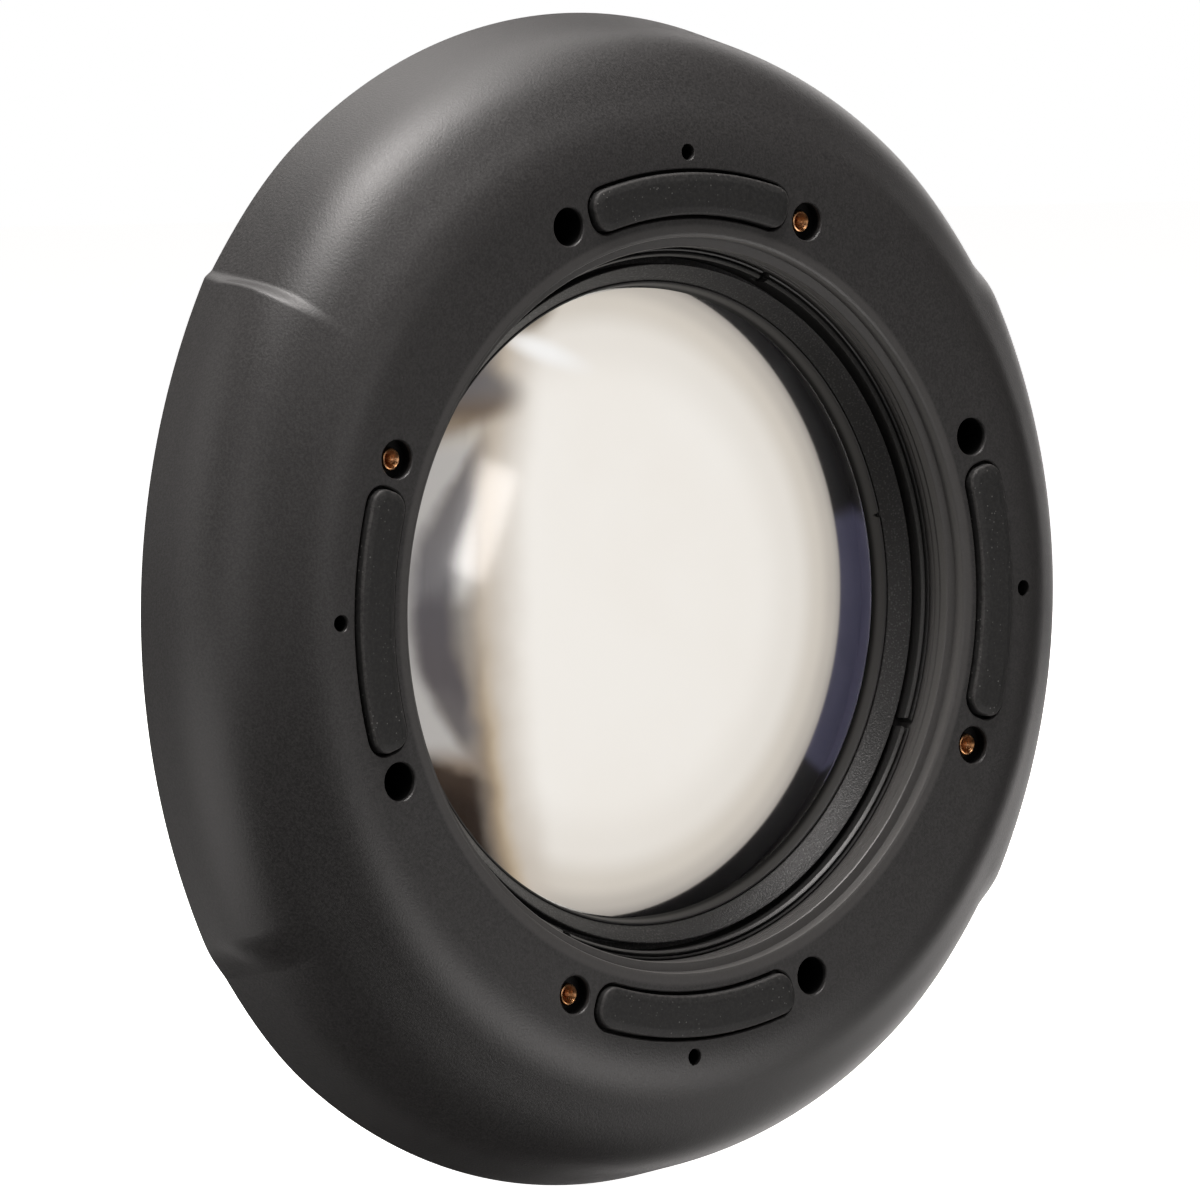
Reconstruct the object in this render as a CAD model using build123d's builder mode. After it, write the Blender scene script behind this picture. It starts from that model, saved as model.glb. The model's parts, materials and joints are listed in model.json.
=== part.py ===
from build123d import *
import os
from math import cos, degrees, radians, sin, sqrt

os.makedirs("parts", exist_ok=True)

# Wide-angle conversion lens with a float collar, in millimetres.
# +Z is up, the front glass looks along -Y, and the optical axis is the Y axis.
# The origin is the centre of the rear seat, where the mounting thread begins.
# A depth is measured from the flat front face towards the camera, so larger is further back.

# ---- Driving dimensions ----
FACE_TO_SEAT = 60.0
COLLAR_DEPTH = 22.4
RIM_R = 78.5
FACE_EDGE_R = 62.6
SHOULDER_R, SHOULDER_DEPTH = 75.2, 8.5
FACE_EDGE_FILLET, SHOULDER_FILLET = 14.0, 17.0
COLLAR_BORE_R = 47.4

# Flatter arcs at the left and right of the collar, and the slight easing of the rim beside them
SIDE_HALF_WIDTH = 75.3
SIDE_ARC_R = 94.3
SIDE_HALF_ANGLE = 33.8
SIDE_DRAFT = 0.6
SIDE_FILLET = 19.0
EASE_SHIFT, EASE_GAIN = 5.0, 3.05
BLANK_BORE_R = 40.0
BLOCK_REACH = 100.0

# Space for the foam inside the collar
FOAM_SPACE_INNER_R, FOAM_SPACE_OUTER_R = 62.5, 71.5

# Holes and pads in the front face
HOLE_CIRCLE_R = 54.6
HOLE_R = 2.55
SCREW_ANGLE, INSERT_ANGLE = 22.5, 67.5
SCREW_SEAT_DEPTH = 14.0
INSERT_SEAT_DEPTH = 1.8
INSERT_R, INSERT_THREAD_R, INSERT_LENGTH = 1.47, 0.8, 6.0
PIN_CIRCLE_R, PIN_HOLE_R, PIN_HOLE_DEPTH = 60.0, 1.1, 3.0
PAD_INNER_R, PAD_OUTER_R = 51.7, 57.3
PAD_HALF_ANGLE = 18.0
PAD_CORNER_R = 2.3
PAD_POCKET_DEPTH = 1.6
PAD_PROUD = 0.7
PAD_BEVEL = 0.6
PAD_GAP = 0.45

# Back cover of the collar
COVER_R = 74.3
COVER_BORE_R = 45.4
COVER_SEAT_DEPTH = 20.4
COVER_REAR_DEPTH = 34.8
GASKET_THICKNESS = 0.5
COVER_SCREWS = 8
COVER_SCREW_CIRCLE_R = 66.7
COVER_SCREW_SEAT_DEPTH = 25.4
POST_R = 3.0

# Barrel
BARREL_R = 47.3
BARREL_FRONT_DEPTH = 9.2
FLANGE_R, FLANGE_REAR_DEPTH = 58.0, 26.0
REAR_BODY_R = 45.2
NOSE_R = 29.8
NOSE_END_DEPTH = 66.0
CLIP_GROOVE_R = 28.9

# Glass
FRONT_GLASS_R = 42.7
FRONT_GLASS_BORE_R = 42.9
FRONT_GLASS_VERTEX_DEPTH = 0.2
FRONT_GLASS_CURVE_R = 87.0
FRONT_GLASS_HOLLOW_R = 34.0
FRONT_GLASS_SEAT_DEPTH = 26.0

# Coupling ring
THREAD_R, THREAD_LENGTH = 33.5, 5.0
GRIP_R = 41.5
GRIP_SCALLOPS = 30
RUNNING_CLEARANCE = 0.07

# Screws
M3_R, M3_HEAD_R, M3_HEAD_H, M3_KEY_R = 1.5, 2.75, 3.0, 1.45
M25_R, M25_HEAD_R, M25_HEAD_H, M25_KEY_R = 1.25, 2.25, 2.5, 1.15
THREAD_CLEARANCE = 0.02
SHANK_CLEARANCE = 0.15


def y_at(depth):
    """Y coordinate of a depth behind the front face."""
    return depth - FACE_TO_SEAT


def facing_front(depth):
    """Plane across the optical axis, looking out of the front, with +X right and +Z up."""
    return Plane(origin=(0, y_at(depth), 0), x_dir=(1, 0, 0), z_dir=(0, -1, 0))


def turn(*outline, mode=Mode.ADD):
    """Revolves a closed outline of (radius, depth) points about the optical axis."""
    with BuildSketch(Plane.XY) as section:
        with BuildLine():
            Polyline(*[(radius, y_at(depth)) for radius, depth in outline], close=True)
        make_face()
    revolve(section.sketch, axis=Axis.Y, mode=mode)


def drill(radius, depth, end_depth, circle_r, count, start_angle):
    """Cuts a circle of round holes from one depth to a deeper one."""
    with BuildSketch(facing_front(depth)) as holes:
        with PolarLocations(circle_r, count, start_angle):
            Circle(radius)
    extrude(holes.sketch, amount=depth - end_depth, mode=Mode.SUBTRACT)


def posts(radius, depth, end_depth, circle_r, count, start_angle):
    """Adds a circle of round posts from one depth to a deeper one."""
    with BuildSketch(facing_front(depth)) as rounds:
        with PolarLocations(circle_r, count, start_angle):
            Circle(radius)
    extrude(rounds.sketch, amount=depth - end_depth)


def keep(piece, name):
    """Labels a finished piece and writes it to its own file."""
    piece.part.label = name
    export_step(piece.part, f"parts/{name}.step")


# ---- Collar shell ----
def pad_outline(middle_angle, gap):
    """Outline of one curved pad at the floor of its pocket, or of the pocket when a gap is given."""
    half = PAD_HALF_ANGLE + degrees(gap / HOLE_CIRCLE_R)
    inner_r, outer_r = PAD_INNER_R - gap, PAD_OUTER_R + gap
    start, end = radians(middle_angle - half), radians(middle_angle + half)
    with BuildSketch(facing_front(PAD_POCKET_DEPTH)) as outline:
        with BuildLine():
            CenterArc((0, 0), outer_r, middle_angle - half, 2 * half)
            CenterArc((0, 0), inner_r, middle_angle - half, 2 * half)
            for angle in (start, end):
                Line(
                    (inner_r * cos(angle), inner_r * sin(angle)),
                    (outer_r * cos(angle), outer_r * sin(angle)),
                )
        make_face()
        fillet(outline.vertices(), PAD_CORNER_R + gap)
    return outline.sketch


RIM_OUTLINE = [(SHOULDER_R, SHOULDER_DEPTH), (RIM_R, COLLAR_DEPTH)]


def rim_section(shoulder, gain=0):
    """Half section of the collar's outside, with its rim outline moved outwards by a gain."""
    with BuildSketch(Plane.XY) as section:
        with BuildLine():
            Polyline(
                (BLANK_BORE_R, y_at(0)),
                (FACE_EDGE_R + gain, y_at(0)),
                *[(radius + gain, y_at(depth)) for radius, depth in shoulder],
                (BLANK_BORE_R, y_at(COLLAR_DEPTH)),
                close=True,
            )
        make_face()
        if len(shoulder) > 1:
            fillet(section.vertices().sort_by(Axis.X)[3], SHOULDER_FILLET)
        fillet(section.vertices().sort_by(Axis.X)[2], FACE_EDGE_FILLET)
    return section.sketch


def flat_block():
    """Block that holds the flatter right side, with ends ramped at 45 degrees to the rim."""
    crease, ramp = radians(SIDE_HALF_ANGLE), radians(SIDE_HALF_ANGLE - 45)
    crease_x, crease_z = RIM_R * cos(crease), RIM_R * sin(crease)
    ends = [(crease_x + reach * cos(ramp), crease_z + reach * sin(ramp)) for reach in (-58, 40)]
    with BuildPart(mode=Mode.PRIVATE) as block:
        with BuildSketch(facing_front(-1)):
            with BuildLine():
                Polyline(*ends, *[(x, -z) for x, z in reversed(ends)], close=True)
            make_face()
        extrude(amount=-COLLAR_DEPTH - 2)
    return block.part


def flat_side():
    """The flatter right side of the collar: the same dome, but its rim follows a wider arc."""
    dome_slope = SHOULDER_DEPTH / (SHOULDER_R - FACE_EDGE_R)
    dome_end_r = FACE_EDGE_R + COLLAR_DEPTH / dome_slope
    arc_centre_x = SIDE_HALF_WIDTH - SIDE_ARC_R
    with BuildPart(mode=Mode.PRIVATE) as flat:
        revolve(rim_section([(dome_end_r, COLLAR_DEPTH)]), axis=Axis.Y)
        with BuildSketch(Plane.XY) as flank:
            with BuildLine():
                Polyline(
                    (arc_centre_x, y_at(-1)),
                    (SIDE_HALF_WIDTH - SIDE_DRAFT, y_at(-1)),
                    (SIDE_HALF_WIDTH, y_at(COLLAR_DEPTH)),
                    (arc_centre_x, y_at(COLLAR_DEPTH)),
                    close=True,
                )
            make_face()
        revolve(flank.sketch, axis=Axis((arc_centre_x, 0, 0), (0, 1, 0)), mode=Mode.INTERSECT)
        add(flat_block(), mode=Mode.INTERSECT)
        fillet(flat.edges().filter_by(GeomType.BSPLINE).sort_by(SortBy.LENGTH)[-1], SIDE_FILLET)
    return flat.part


# The right half of the collar's outside, with its rim eased in towards the flatter side
with BuildPart() as half_collar:
    revolve(rim_section(RIM_OUTLINE), axis=Axis.Y)
    eased_section = rim_section(RIM_OUTLINE, EASE_GAIN).moved(Location((-EASE_SHIFT, 0, 0)))
    revolve(eased_section, axis=Axis((-EASE_SHIFT, 0, 0), (0, 1, 0)), mode=Mode.INTERSECT)
    add(flat_block(), mode=Mode.SUBTRACT)
    add(flat_side())
    Box(
        2 * BLOCK_REACH, 2 * BLOCK_REACH, 2 * BLOCK_REACH,
        align=(Align.MIN, Align.CENTER, Align.CENTER), mode=Mode.INTERSECT,
    )

with BuildPart() as collar_shell:
    add(half_collar.part)
    add(half_collar.part, rotation=(0, 180, 0))
    # Stepped bore, open for the lock ring
    turn(
        (0, -1), (50.4, -1), (48.8, 0.6), (48.7, 1.5), (COLLAR_BORE_R, 1.8),
        (COLLAR_BORE_R, COLLAR_DEPTH + 1), (0, COLLAR_DEPTH + 1), mode=Mode.SUBTRACT,
    )
    # Space for the foam, and the rebate that the back cover sits in
    turn(
        (FOAM_SPACE_INNER_R, 4.2), (65.2, 5.2), (FOAM_SPACE_OUTER_R, 9.9),
        (FOAM_SPACE_OUTER_R, COLLAR_DEPTH), (FOAM_SPACE_INNER_R, COLLAR_DEPTH), mode=Mode.SUBTRACT,
    )
    turn(
        (FLANGE_R + 0.2, COVER_SEAT_DEPTH),
        (FOAM_SPACE_OUTER_R - 0.1, COVER_SEAT_DEPTH),
        (FOAM_SPACE_OUTER_R - 0.1, COVER_SEAT_DEPTH - GASKET_THICKNESS),
        (COVER_R + 0.1, COVER_SEAT_DEPTH - GASKET_THICKNESS),
        (COVER_R + 0.1, COLLAR_DEPTH),
        (FLANGE_R + 0.2, COLLAR_DEPTH),
        mode=Mode.SUBTRACT,
    )
    posts(POST_R, 8.0, COVER_SEAT_DEPTH, COVER_SCREW_CIRCLE_R, COVER_SCREWS, 0)
    drill(M3_R + THREAD_CLEARANCE, 12.0, COVER_SEAT_DEPTH, COVER_SCREW_CIRCLE_R, COVER_SCREWS, 0)
    # Front holes: deep screw holes, insert holes and small pin holes
    drill(HOLE_R, 0, SCREW_SEAT_DEPTH, HOLE_CIRCLE_R, 4, SCREW_ANGLE)
    drill(M25_R + SHANK_CLEARANCE, SCREW_SEAT_DEPTH, COLLAR_DEPTH, HOLE_CIRCLE_R, 4, SCREW_ANGLE)
    drill(HOLE_R, 0, INSERT_SEAT_DEPTH, HOLE_CIRCLE_R, 4, INSERT_ANGLE)
    drill(INSERT_R, INSERT_SEAT_DEPTH, INSERT_SEAT_DEPTH + INSERT_LENGTH, HOLE_CIRCLE_R, 4, INSERT_ANGLE)
    drill(PIN_HOLE_R, 0, PIN_HOLE_DEPTH, PIN_CIRCLE_R, 4, 0)
    # Pockets for the rubber pads
    for number in range(4):
        extrude(pad_outline(90 * number, PAD_GAP), amount=PAD_POCKET_DEPTH, mode=Mode.SUBTRACT)
keep(collar_shell, "collar_shell")

# ---- Rubber pads ----
for number, place in enumerate(("right", "top", "left", "bottom")):
    with BuildPart() as pad:
        extrude(pad_outline(90 * number, 0), amount=PAD_POCKET_DEPTH + PAD_PROUD)
        chamfer(pad.faces().sort_by(Axis.Y)[0].edges(), PAD_BEVEL)
    keep(pad, f"front_pad_{place}")

# ---- Brass inserts in the front face ----
with BuildPart() as brass_inserts:
    insert_end = INSERT_SEAT_DEPTH + INSERT_LENGTH
    posts(INSERT_R, INSERT_SEAT_DEPTH, insert_end, HOLE_CIRCLE_R, 4, INSERT_ANGLE)
    drill(INSERT_THREAD_R, INSERT_SEAT_DEPTH, insert_end, HOLE_CIRCLE_R, 4, INSERT_ANGLE)
keep(brass_inserts, "brass_inserts")

# ---- Screws ----
def cap_screws(seat_depth, end_depth, sizes, circle_r, count, start_angle, front):
    """Hexagon-socket screws in a circle, their heads towards the front or the back."""
    shank_r, head_r, head_h, key_r = sizes
    head_end = seat_depth - head_h if front else seat_depth + head_h
    with BuildPart() as screws:
        for radius, end in ((head_r, head_end), (shank_r, end_depth)):
            posts(radius, min(seat_depth, end), max(seat_depth, end), circle_r, count, start_angle)
        with BuildSketch(facing_front(head_end)) as sockets:
            with PolarLocations(circle_r, count, start_angle):
                RegularPolygon(key_r, 6)
        extrude(sockets.sketch, amount=(-1 if front else 1) * 0.55 * head_h, mode=Mode.SUBTRACT)
    return screws


collar_screws = cap_screws(
    SCREW_SEAT_DEPTH, FLANGE_REAR_DEPTH, (M25_R, M25_HEAD_R, M25_HEAD_H, M25_KEY_R),
    HOLE_CIRCLE_R, 4, SCREW_ANGLE, front=True,
)
keep(collar_screws, "collar_screws")

cover_screws = cap_screws(
    COVER_SCREW_SEAT_DEPTH, 13.0, (M3_R, M3_HEAD_R, M3_HEAD_H, M3_KEY_R),
    COVER_SCREW_CIRCLE_R, COVER_SCREWS, 0, front=False,
)
keep(cover_screws, "cover_screws")

# ---- Back cover, its gasket and the buoyant foam ----
with BuildPart() as collar_back_cover:
    with BuildSketch(Plane.XY) as dome:
        with BuildLine():
            Polyline(
                (COVER_BORE_R, y_at(COVER_REAR_DEPTH)),
                (COVER_BORE_R, y_at(FLANGE_REAR_DEPTH)),
                (FLANGE_R + 0.3, y_at(FLANGE_REAR_DEPTH)),
                (FLANGE_R + 0.3, y_at(COVER_SEAT_DEPTH)),
                (COVER_R, y_at(COVER_SEAT_DEPTH)),
                (COVER_R, y_at(COLLAR_DEPTH + 0.2)),
            )
            ThreePointArc(
                (COVER_R, y_at(COLLAR_DEPTH + 0.2)),
                (63.5, y_at(31.2)),
                (COVER_BORE_R, y_at(COVER_REAR_DEPTH)),
            )
        make_face()
    revolve(dome.sketch, axis=Axis.Y)
    turn(
        (62.6, COVER_SEAT_DEPTH), (71.2, COVER_SEAT_DEPTH), (71.2, COLLAR_DEPTH), (66.0, 26.6),
        (62.6, 28.4), mode=Mode.SUBTRACT,
    )
    posts(POST_R, COVER_SEAT_DEPTH, 27.0, COVER_SCREW_CIRCLE_R, COVER_SCREWS, 0)
    drill(
        M3_R + SHANK_CLEARANCE, COVER_SEAT_DEPTH, COVER_SCREW_SEAT_DEPTH,
        COVER_SCREW_CIRCLE_R, COVER_SCREWS, 0,
    )
    drill(
        M3_HEAD_R + 0.25, COVER_SCREW_SEAT_DEPTH, COVER_REAR_DEPTH,
        COVER_SCREW_CIRCLE_R, COVER_SCREWS, 0,
    )
keep(collar_back_cover, "collar_back_cover")

with BuildPart() as cover_gasket:
    turn(
        (71.5, COVER_SEAT_DEPTH - GASKET_THICKNESS),
        (COVER_R, COVER_SEAT_DEPTH - GASKET_THICKNESS),
        (COVER_R, COVER_SEAT_DEPTH),
        (71.5, COVER_SEAT_DEPTH),
    )
keep(cover_gasket, "cover_gasket")

with BuildPart() as foam_core:
    turn((62.9, 4.6), (65.0, 5.6), (71.0, 10.3), (71.0, 22.1), (65.8, 26.2), (62.9, 27.8))
    drill(POST_R + 0.3, 0, 30.0, COVER_SCREW_CIRCLE_R, COVER_SCREWS, 0)
keep(foam_core, "foam_core")

# ---- Barrel ----
with BuildPart() as lens_barrel:
    turn(
        (FRONT_GLASS_BORE_R, BARREL_FRONT_DEPTH), (BARREL_R, BARREL_FRONT_DEPTH), (BARREL_R, COLLAR_DEPTH),
        (FLANGE_R, COLLAR_DEPTH), (FLANGE_R, FLANGE_REAR_DEPTH), (REAR_BODY_R, FLANGE_REAR_DEPTH),
        (REAR_BODY_R, 35.6), (44.4, 36.4), (44.4, 42.0), (39.6, 46.8), (39.6, 49.2), (NOSE_R, 49.2),
        (NOSE_R, 63.6), (CLIP_GROOVE_R, 63.6), (CLIP_GROOVE_R, 64.65), (NOSE_R, 64.65),
        (NOSE_R, NOSE_END_DEPTH - 0.6), (NOSE_R - 0.6, NOSE_END_DEPTH), (27.2, NOSE_END_DEPTH),
        (27.2, 48.0), (24.6, 48.0), (24.6, 46.0), (31.5, 46.0), (31.5, 38.0), (37.5, 38.0),
        (37.5, FRONT_GLASS_SEAT_DEPTH), (FRONT_GLASS_BORE_R, FRONT_GLASS_SEAT_DEPTH),
        (FRONT_GLASS_BORE_R, 19.2), (44.5, 19.2), (44.5, 17.0), (FRONT_GLASS_BORE_R, 17.0),
    )
    drill(M25_R + THREAD_CLEARANCE, COLLAR_DEPTH, FLANGE_REAR_DEPTH, HOLE_CIRCLE_R, 4, SCREW_ANGLE)
keep(lens_barrel, "lens_barrel")

# ---- Rings in the bore ----
with BuildPart() as collar_lock_ring:
    turn(
        (46.2, 5.4), (46.4, 5.2), (46.5, 5.2), (46.55, 6.1), (46.95, 6.1), (47.0, 5.2),
        (47.15, 5.2), (47.3, 5.4), (47.3, BARREL_FRONT_DEPTH), (46.2, BARREL_FRONT_DEPTH),
    )
    with BuildSketch(facing_front(5.0)) as notches:
        with PolarLocations(46.8, 4, INSERT_ANGLE):
            Rectangle(1.6, 1.8)
    extrude(notches.sketch, amount=-2.6, mode=Mode.SUBTRACT)
keep(collar_lock_ring, "collar_lock_ring")

with BuildPart() as bezel_ring:
    turn((46.1, 5.4), (46.1, BARREL_FRONT_DEPTH), (42.95, BARREL_FRONT_DEPTH), (42.95, 8.7), (45.0, 6.3))
keep(bezel_ring, "bezel_ring")

with BuildPart() as glass_retaining_ring:
    turn((42.85, 8.8), (42.85, 12.55), (42.05, 12.55), (42.05, 11.0), (42.45, 9.4), (42.45, 9.0))
    with BuildSketch(facing_front(8.5)) as notches:
        with PolarLocations(42.5, 2, 14):
            Rectangle(1.2, 1.1)
    extrude(notches.sketch, amount=-1.6, mode=Mode.SUBTRACT)
keep(glass_retaining_ring, "glass_retaining_ring")


# ---- Glass ----
def sag(curve_r, radius):
    """Height of a spherical surface between its vertex and a given radius."""
    return curve_r - sqrt(curve_r**2 - radius**2)


def lens_arc(curve_r, radius, vertex_depth, towards_back):
    """Spherical face from the axis to a radius, falling away towards the back or the front."""
    sign = 1 if towards_back else -1
    radii = (0, radius / 2, radius)
    return ThreePointArc(*[(r, y_at(vertex_depth + sign * sag(curve_r, r))) for r in radii])


def glass(name, front, edge, back):
    """Turned lens from (curve, radius, vertex depth, towards back) faces and its edge outline."""
    with BuildPart() as element:
        with BuildSketch(Plane.XY) as section:
            with BuildLine():
                front_face = lens_arc(*front)
                back_face = lens_arc(*back) if back else None
                back_start = back_face @ 1 if back else (0, y_at(edge[-1][1]))
                Polyline(front_face @ 1, *[(r, y_at(depth)) for r, depth in edge], back_start)
                Line(back_face @ 0 if back else back_start, front_face @ 0)
            make_face()
        revolve(section.sketch, axis=Axis.Y)
    keep(element, name)


glass(
    "front_glass",
    (FRONT_GLASS_CURVE_R, 41.9, FRONT_GLASS_VERTEX_DEPTH, True),
    [(41.9, 12.6), (FRONT_GLASS_R, 12.6), (FRONT_GLASS_R, FRONT_GLASS_SEAT_DEPTH)],
    (FRONT_GLASS_HOLLOW_R, 29.8, FRONT_GLASS_SEAT_DEPTH - sag(FRONT_GLASS_HOLLOW_R, 29.8), True),
)
glass(
    "middle_glass",
    (95.0, 37.3, 27.4, True),
    [(37.3, 38.0)],
    (80.0, 31.4, 38.0 + sag(80.0, 31.4), False),
)
glass(
    "rear_glass",
    (400.0, 27.1, 54.05, True),
    [(27.1, 57.5)],
    (80.0, 25.2, 57.5 + sag(80.0, 25.2), False),
)

# ---- Spacers and seals ----
with BuildPart() as front_spacer:
    turn(
        (31.0, FRONT_GLASS_SEAT_DEPTH), (37.3, FRONT_GLASS_SEAT_DEPTH), (37.3, 34.9), (31.0, 32.4),
    )
keep(front_spacer, "front_spacer")

with BuildPart() as rear_spacer:
    turn((24.8, 48.0), (27.1, 48.0), (27.1, 54.9), (24.8, 54.7))
keep(rear_spacer, "rear_spacer")


def seal_ring(name, circle_r, cord_r, depth):
    """O-ring about the optical axis."""
    with BuildPart() as seal:
        with BuildSketch(Plane.XY) as section:
            with Locations((circle_r, y_at(depth))):
                Circle(cord_r)
        revolve(section.sketch, axis=Axis.Y)
    keep(seal, name)


seal_ring("front_oring", 43.6, 0.88, 18.1)
seal_ring("rear_oring", 26.2, 0.75, 58.3)

with BuildPart() as rear_retaining_ring:
    turn((25.3, 59.1), (27.1, 59.1), (27.1, 62.4), (25.9, 62.4), (25.3, 61.8))
    with BuildSketch(facing_front(63.0)) as notches:
        with PolarLocations(26.4, 2, 14):
            Rectangle(2.4, 1.6)
    extrude(notches.sketch, amount=1.6, mode=Mode.SUBTRACT)
keep(rear_retaining_ring, "rear_retaining_ring")

# ---- Rear coupling ----
with BuildPart() as slip_washer:
    turn((30.0, 49.25), (38.6, 49.25), (38.6, 49.75), (30.0, 49.75))
keep(slip_washer, "slip_washer")

with BuildPart() as coupling_ring:
    bore_r = NOSE_R + RUNNING_CLEARANCE
    turn(
        (bore_r, 50.0), (GRIP_R - 0.6, 50.0), (GRIP_R, 50.6), (GRIP_R, 57.0), (GRIP_R - 0.6, 57.6),
        (39.4, 58.2), (38.4, FACE_TO_SEAT), (THREAD_R, FACE_TO_SEAT),
        (THREAD_R, FACE_TO_SEAT + THREAD_LENGTH), (THREAD_R - 0.5, FACE_TO_SEAT + THREAD_LENGTH + 0.5),
        (32.0, FACE_TO_SEAT + THREAD_LENGTH + 0.5), (32.0, 63.4), (bore_r, 63.4),
    )
    drill(1.9, 50.0, 58.2, GRIP_R + 0.9, GRIP_SCALLOPS, 0)
keep(coupling_ring, "coupling_ring")

with BuildPart() as coupling_clip:
    turn((CLIP_GROOVE_R + 0.02, 63.62), (31.6, 63.62), (31.6, 64.62), (CLIP_GROOVE_R + 0.02, 64.62))
    with BuildSketch(facing_front(63.0)) as gap:
        with Locations((0, 30.0)):
            Rectangle(7.0, 5.0)
    extrude(gap.sketch, amount=-2.0, mode=Mode.SUBTRACT)
keep(coupling_clip, "coupling_clip")
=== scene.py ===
"""Looks of an underwater wide-angle conversion lens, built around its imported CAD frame.

Everything is in metres in the frame's own axes: +Z up, the front glass looks along -Y, and the
optical axis is the Y axis. A depth is measured from the flat front face towards the back, and
outlines of turned pieces are (radius, depth) points in millimetres.
"""

import json
from math import cos, pi, radians, sin, sqrt, tau

import bmesh
import bpy
from mathutils import Matrix, Vector


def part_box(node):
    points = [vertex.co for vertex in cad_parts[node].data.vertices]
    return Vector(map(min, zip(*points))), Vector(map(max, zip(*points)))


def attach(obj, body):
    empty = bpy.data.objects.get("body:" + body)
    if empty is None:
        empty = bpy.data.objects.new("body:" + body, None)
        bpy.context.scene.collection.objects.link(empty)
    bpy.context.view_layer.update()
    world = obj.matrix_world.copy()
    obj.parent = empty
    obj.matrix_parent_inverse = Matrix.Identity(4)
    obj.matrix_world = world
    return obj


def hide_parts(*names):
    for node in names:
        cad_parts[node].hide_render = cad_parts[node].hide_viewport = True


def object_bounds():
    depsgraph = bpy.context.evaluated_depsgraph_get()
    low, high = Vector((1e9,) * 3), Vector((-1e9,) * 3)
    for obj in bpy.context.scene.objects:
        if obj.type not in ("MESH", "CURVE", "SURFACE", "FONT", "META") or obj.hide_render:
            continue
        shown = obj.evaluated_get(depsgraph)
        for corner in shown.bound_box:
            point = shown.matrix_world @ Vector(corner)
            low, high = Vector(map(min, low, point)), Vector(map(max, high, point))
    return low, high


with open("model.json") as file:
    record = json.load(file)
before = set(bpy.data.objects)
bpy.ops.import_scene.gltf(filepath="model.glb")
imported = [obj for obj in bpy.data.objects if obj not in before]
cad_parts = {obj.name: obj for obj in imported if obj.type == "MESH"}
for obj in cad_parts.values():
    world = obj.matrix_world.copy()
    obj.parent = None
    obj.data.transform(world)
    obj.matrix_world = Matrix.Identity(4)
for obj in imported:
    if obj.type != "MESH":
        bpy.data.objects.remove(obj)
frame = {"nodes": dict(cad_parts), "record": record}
cad_low, cad_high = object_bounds()

MM = 0.001
LENS_BODY, COUPLING_BODY = "lens_body", "coupling"
face_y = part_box("collar_shell")[0].y
scene = bpy.context.scene
scene.view_settings.view_transform = "Standard"


# ---- Camera, at the photograph's viewing angle ----
CAMERA_AZIMUTH, CAMERA_ELEVATION, CAMERA_ROLL = -40.71, 2.9, -0.45
CAMERA_DISTANCE = 1.4892
CAMERA_FOCAL = 337.5
AIM_RIGHT, AIM_UP = -0.01218, 0.00071


def direction(azimuth, elevation):
    """Unit vector at an azimuth from the front (-Y), positive towards +X, and an elevation."""
    a, e = radians(azimuth), radians(elevation)
    return Vector((sin(a) * cos(e), -cos(a) * cos(e), sin(e)))


def add_camera():
    """Camera at the place and focal length estimated from the photograph."""
    camera = bpy.data.objects.new("camera", bpy.data.cameras.new("camera"))
    scene.collection.objects.link(camera)
    camera.data.lens = CAMERA_FOCAL
    camera.data.sensor_width = 36.0
    camera.data.clip_start, camera.data.clip_end = 0.05, 50.0
    back = direction(CAMERA_AZIMUTH, CAMERA_ELEVATION)
    turned = back.to_track_quat("Z", "Y").to_matrix() @ Matrix.Rotation(radians(CAMERA_ROLL), 3, "Z")
    right, up, _ = turned.transposed()
    place = Vector((0, face_y, 0)) + AIM_RIGHT * right + AIM_UP * up + CAMERA_DISTANCE * back
    camera.matrix_world = Matrix.Translation(place) @ turned.to_4x4()
    scene.camera = camera


add_camera()


# ---- Studio: a pale floor, a pale surround and soft lights ----
FLOOR_HALF = 6.0
FLOOR_COLOUR, FLOOR_GLOW = (0.96, 0.955, 0.95), 1.03
SURROUND_COLOUR, SURROUND_STRENGTH = (1, 0.985, 0.97, 1), 0.006

# The one light that the front glass mirrors
WINDOW = "front_window"

# Name, azimuth, elevation, distance, width, height and power in watts
SOFTBOXES = (
    ("overhead", 0, 90, 1.6, 1.1, 1.1, 17.0),
    ("key_high_left", -40, 74, 1.5, 0.7, 0.7, 20.0),
    ("key_left", -45, 62, 1.5, 0.7, 0.7, 6.0),
    (WINDOW, -1.6, 12.5, 1.6, 0.19, 0.56, 4.6),
    ("front_soft", 0, 11, 1.6, 0.6, 0.7, 2.4),
    ("front_low", 28, -32, 0.9, 0.55, 0.5, 2.7),
    ("left_low", -105, -28, 1.5, 1.5, 1.1, 9.0),
    ("left_side", -60, 8, 1.6, 0.9, 0.9, 3.2),
    ("right_low", 65, -40, 1.6, 0.8, 0.8, 1.5),
    ("right_front", 50, 10, 1.6, 0.8, 0.9, 0.5),
    ("back_left", -120, 20, 1.6, 1.0, 1.0, 4.0),
    ("back_high", 180, 50, 1.6, 1.0, 1.0, 4.0),
    ("back_right", 140, 55, 1.6, 0.9, 0.9, 4.0),
    ("back_low", 180, -30, 1.6, 0.9, 0.9, 4.0),
    ("rim_right", 120, 12, 1.5, 0.6, 0.8, 3.2),
    ("rim_low", 115, -22, 1.5, 0.85, 0.85, 4.4),
)
SLANTS = {WINDOW: -26}
LIGHT_COLOUR = (1.0, 0.965, 0.945)


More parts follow.
